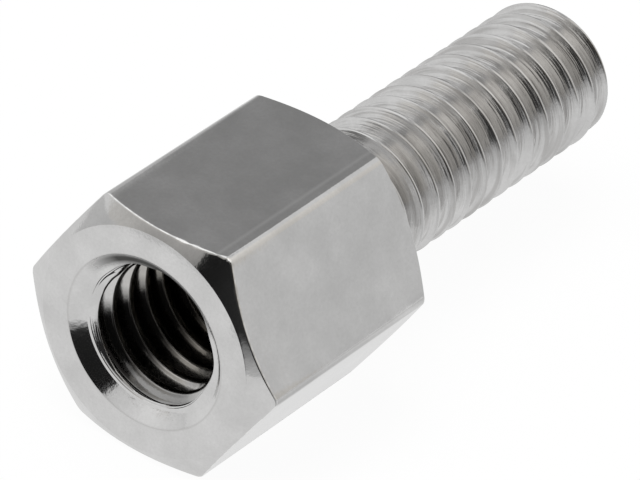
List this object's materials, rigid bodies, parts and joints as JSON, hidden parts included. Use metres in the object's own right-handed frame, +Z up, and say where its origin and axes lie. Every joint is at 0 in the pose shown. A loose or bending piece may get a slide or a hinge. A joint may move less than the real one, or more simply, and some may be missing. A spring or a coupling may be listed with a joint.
{
  "type": "hex standoff",
  "caption": "Hexagonal metal standoff with a countersunk tapped hole in one end and a threaded stud on the other, to space and join boards or panels.",
  "frame": {"origin": "on the surface that the part lies on, under the middle of its length", "axes": "+X along the thread axis from the tapped end to the stud's tip, +Z up, square to the flat it lies on"},
  "size_m": [0.013, 0.0056, 0.0049],
  "materials": {
    "nickel": "brass under bright nickel plating"
  },
  "bodies": {
    "root": {"standoff": "nickel"}
  },
  "joints": []
}
